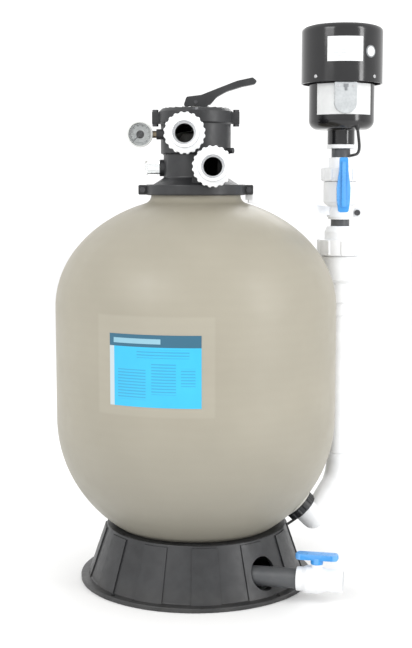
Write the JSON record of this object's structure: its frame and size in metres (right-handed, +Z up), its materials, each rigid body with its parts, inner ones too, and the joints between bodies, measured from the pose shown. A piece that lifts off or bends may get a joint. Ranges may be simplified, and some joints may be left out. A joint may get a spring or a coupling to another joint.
{
  "type": "sand filter tank",
  "caption": "Top-mount sand filter: a domed tank on a ribbed skirt, a multiport valve with union ports, a gauge, a drain valve, and an air scour blower on a riser.",
  "frame": {"origin": "on the floor, at the tank's vertical axis", "axes": "+Z up along the tank's axis; the valve's pump and return ports face -Y; the air riser stands on the +X side"},
  "size_m": [0.7235, 0.6815, 1.22],
  "materials": {
    "fibreglass": "moulded fibreglass-reinforced tank, satin gel coat",
    "black_plastic": "moulded black plastic, satin",
    "blower_black": "moulded black plastic, semi-gloss",
    "white_pvc": "white PVC pipe and fittings",
    "blue_plastic": "moulded blue plastic",
    "grey_pvc": "dark grey PVC pipe",
    "label_film": "printed vinyl film with plain colour areas",
    "steel": "stainless steel",
    "clear_plastic": "clear polycarbonate",
    "rubber": "nitrile rubber",
    "pale_gasket": "pale silicone rubber",
    "brass": "machined brass",
    "translucent_cover": "light grey translucent plastic",
    "cord_black": "black PVC cord sheath",
    "gauge_white": "white plastic gauge case",
    "motor_metal": "cast aluminium motor body",
    "internal_white": "off-white moulded plastic"
  },
  "bodies": {
    "tank": {"air_elbow": "white_pvc", "air_valve_body": "white_pvc", "ball_seats": "pale_gasket", "base_skirt": "black_plastic", "blower_cap": "blower_black", "blower_collar": "white_pvc", "blower_housing": "blower_black", "blower_motor": "motor_metal", "blower_screws": "steel", "bulkhead_body": "grey_pvc", "bulkhead_nut": "black_plastic", "check_valve_body": "white_pvc", "clamp_and_strap_bolts": "steel", "cord_coil": "cord_black", "cord_gland": "cord_black", "cord_plug": "cord_black", "cord_tube": "cord_black", "diffuser": "internal_white", "drain_fitting": "grey_pvc", "drain_pipe": "grey_pvc", "drain_valve_body": "white_pvc", "gauge_case": "gauge_white", "gauge_lens": "clear_plastic", "gauge_stem": "brass", "lateral_hub": "internal_white", "laterals": "internal_white", "lid_screws": "steel", "motor_bearings": "steel", "neck_clamp": "black_plastic", "pipe_nipples": "grey_pvc", "port_tailpieces": "white_pvc", "port_union_nuts": "white_pvc", "riser_bend": "white_pvc", "riser_pipe": "white_pvc", "riser_union_ends": "white_pvc", "riser_union_nuts": "white_pvc", "seals": "rubber", "sight_glass": "clear_plastic", "spider_gasket": "rubber", "standpipe": "grey_pvc", "support_arm": "white_pvc", "tank_label": "label_film", "tank_shell": "fibreglass", "valve_body": "black_plastic", "valve_lid": "black_plastic", "wiring_cover": "translucent_cover"},
    "selector": {"thrust_washer": "internal_white", "rotor_spring": "steel"},
    "rotor": {"rotor": "internal_white", "handle_pin": "steel"},
    "handle": {"selector_handle": "black_plastic"},
    "needle": {"gauge_needle": "steel"},
    "air_key": {"air_valve_ball": "white_pvc", "air_valve_stem": "internal_white", "air_valve_handle": "blue_plastic"},
    "drain_key": {"drain_valve_ball": "white_pvc", "drain_handle": "blue_plastic"},
    "flapper": {"check_flapper": "rubber"},
    "fan": {"motor_shaft": "steel", "blower_impeller": "internal_white"}
  },
  "joints": [
    {"name": "selector_turn", "type": "hinge", "parent": "tank", "child": "selector", "pos_m": [0, 0, 1], "axis": [0, 0, 1], "continuous": true},
    {"name": "selector_lift", "type": "slide", "parent": "selector", "child": "rotor", "axis": [0, 0, 1], "range_m": [0, 0.005], "stiffness_N_per_m": 300, "springref_m": -0.01, "deforming": ["rotor_spring"]},
    {"name": "handle_press", "type": "hinge", "parent": "rotor", "child": "handle", "pos_m": [0, 0, 1.045], "axis": [0, 1, 0], "range_deg": [0, 20]},
    {"name": "gauge_needle_turn", "type": "hinge", "parent": "tank", "child": "needle", "pos_m": [-0.119, -0.02, 0.976], "axis": [0, 1, 0], "range_deg": [0, 270], "stiffness_Nm_per_rad": 0.001, "springref_deg": -17.19},
    {"name": "air_valve_turn", "type": "hinge", "parent": "tank", "child": "air_key", "pos_m": [0.327, 0.12, 0.85], "axis": [0, -1, 0], "range_deg": [0, 90]},
    {"name": "drain_valve_turn", "type": "hinge", "parent": "tank", "child": "drain_key", "pos_m": [0.25305, -0.1928, 0.05], "axis": [0, 0, 1], "range_deg": [0, 90]},
    {"name": "check_flapper_swing", "type": "hinge", "parent": "tank", "child": "flapper", "pos_m": [0.327, 0.148, 0.7047], "axis": [1, 0, 0], "range_deg": [0, 65], "stiffness_Nm_per_rad": 0.01, "springref_deg": -57.3},
    {"name": "impeller_spin", "type": "hinge", "parent": "tank", "child": "fan", "pos_m": [0.327, 0.12, 1.06], "axis": [0, 0, 1], "continuous": true}
  ],
  "couplings": [
    {"joint": "selector_lift", "follows": "handle_press", "m_per_rad": 0.014}
  ]
}
